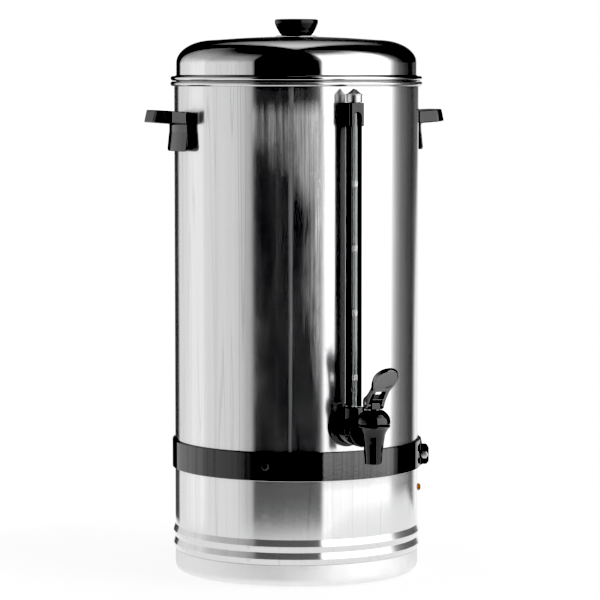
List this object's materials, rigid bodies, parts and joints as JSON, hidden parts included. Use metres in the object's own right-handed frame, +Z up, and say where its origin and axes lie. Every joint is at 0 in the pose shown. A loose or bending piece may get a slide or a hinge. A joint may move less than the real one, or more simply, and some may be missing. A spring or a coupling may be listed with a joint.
{
  "type": "coffee percolator urn",
  "caption": "Tall polished steel coffee urn with domed lid, side handles, sight gauge, lever tap, clamp band and heated base.",
  "frame": {"origin": "on the standing surface, under the middle of the whole object; the urn's own axis is at x = 0, y = +0.049 m", "axes": "+Z up along the urn's axis, -Y towards the tap, +X towards the right handle as seen by a user facing the tap"},
  "size_m": [0.31, 0.3454, 0.5435],
  "materials": {
    "polished_steel": "mirror polished stainless sheet with fine vertical brush marks",
    "satin_steel": "satin stainless sheet",
    "chrome": "bright plated",
    "black_plastic": "glossy black phenolic moulding",
    "rubber": "matt black rubber",
    "clear_glass": "clear tube",
    "amber_lens": "clear amber lens",
    "heater_metal": "dull metal, heat stained",
    "ceramic": "matt white ceramic",
    "wire_cover": "matt silicone wire cover"
  },
  "bodies": {
    "root": {"tank_wall": "polished_steel", "base_shell": "polished_steel", "tank_floor": "satin_steel", "base_pan": "satin_steel", "band_screw_1": "satin_steel", "band_screw_2": "satin_steel", "band_screw_3": "satin_steel", "gauge_cap": "chrome", "stem_spring": "chrome", "band_bolt": "chrome", "band_bolt_nut": "chrome", "bracket_screw_lower": "chrome", "bracket_screw_upper": "chrome", "left_handle_screw_back": "chrome", "left_handle_screw_front": "chrome", "right_handle_screw_back": "chrome", "right_handle_screw_front": "chrome", "left_handle": "black_plastic", "right_handle": "black_plastic", "gauge_channel": "black_plastic", "gauge_bracket": "black_plastic", "tap_elbow": "black_plastic", "tap_lock_nut": "black_plastic", "union_nut": "black_plastic", "tap_body": "black_plastic", "tap_bonnet": "black_plastic", "clamp_band": "black_plastic", "switch_housing": "black_plastic", "power_inlet": "black_plastic", "upper_gauge_seal": "rubber", "lower_gauge_seal": "rubber", "saddle_gasket": "rubber", "front_foot": "rubber", "left_foot": "rubber", "right_foot": "rubber", "gauge_tube": "clear_glass", "pilot_lamp": "amber_lens", "heat_plate": "heater_metal", "heating_element": "heater_metal", "pump_heater": "heater_metal", "thermostat": "ceramic", "thermal_cutout": "ceramic", "terminal_block": "ceramic", "thermostat_lead": "wire_cover", "cutout_lead": "wire_cover", "inlet_lead": "wire_cover"},
    "lid": {"lid_shell": "polished_steel", "knob_washer": "chrome", "lid_knob": "black_plastic", "knob_screw": "chrome"},
    "riser": {"riser_tube": "polished_steel", "riser_foot": "satin_steel"},
    "basket": {"coffee_basket": "satin_steel"},
    "spreader": {"water_spreader": "satin_steel"},
    "stem": {"tap_stem": "black_plastic", "lever_pin": "chrome", "seat_cup": "rubber"},
    "lever": {"tap_lever": "black_plastic"},
    "rocker": {"switch_rocker": "black_plastic"}
  },
  "joints": [
    {"name": "lid_lift", "type": "slide", "parent": "root", "child": "lid", "axis": [0, 0, 1], "range_m": [0, 0.5]},
    {"name": "riser_lift", "type": "slide", "parent": "root", "child": "riser", "axis": [0, 0, 1], "range_m": [0, 0.39]},
    {"name": "basket_lift", "type": "slide", "parent": "riser", "child": "basket", "axis": [0, 0, 1], "range_m": [0, 0.04]},
    {"name": "spreader_lift", "type": "slide", "parent": "basket", "child": "spreader", "axis": [0, 0, 1], "range_m": [0, 0.03]},
    {"name": "stem_lift", "type": "slide", "parent": "root", "child": "stem", "axis": [0, 0, 1], "range_m": [0, 0.004], "deforming": ["stem_spring"]},
    {"name": "lever_tilt", "type": "hinge", "parent": "stem", "child": "lever", "pos_m": [0, -0.135, 0.1845], "axis": [1, 0, 0], "range_deg": [0, 35], "stiffness_Nm_per_rad": 0.4, "springref_deg": -40.11},
    {"name": "rocker_press", "type": "hinge", "parent": "root", "child": "rocker", "pos_m": [0.117, 0.049, 0.0845], "axis": [0, -1, 0], "range_deg": [0, 16]}
  ],
  "couplings": [
    {"joint": "riser_lift", "follows": "lid_lift", "ratio": 0.78},
    {"joint": "basket_lift", "follows": "lid_lift", "ratio": 0.08},
    {"joint": "spreader_lift", "follows": "lid_lift", "ratio": 0.06},
    {"joint": "stem_lift", "follows": "lever_tilt", "m_per_rad": 0.0065}
  ]
}
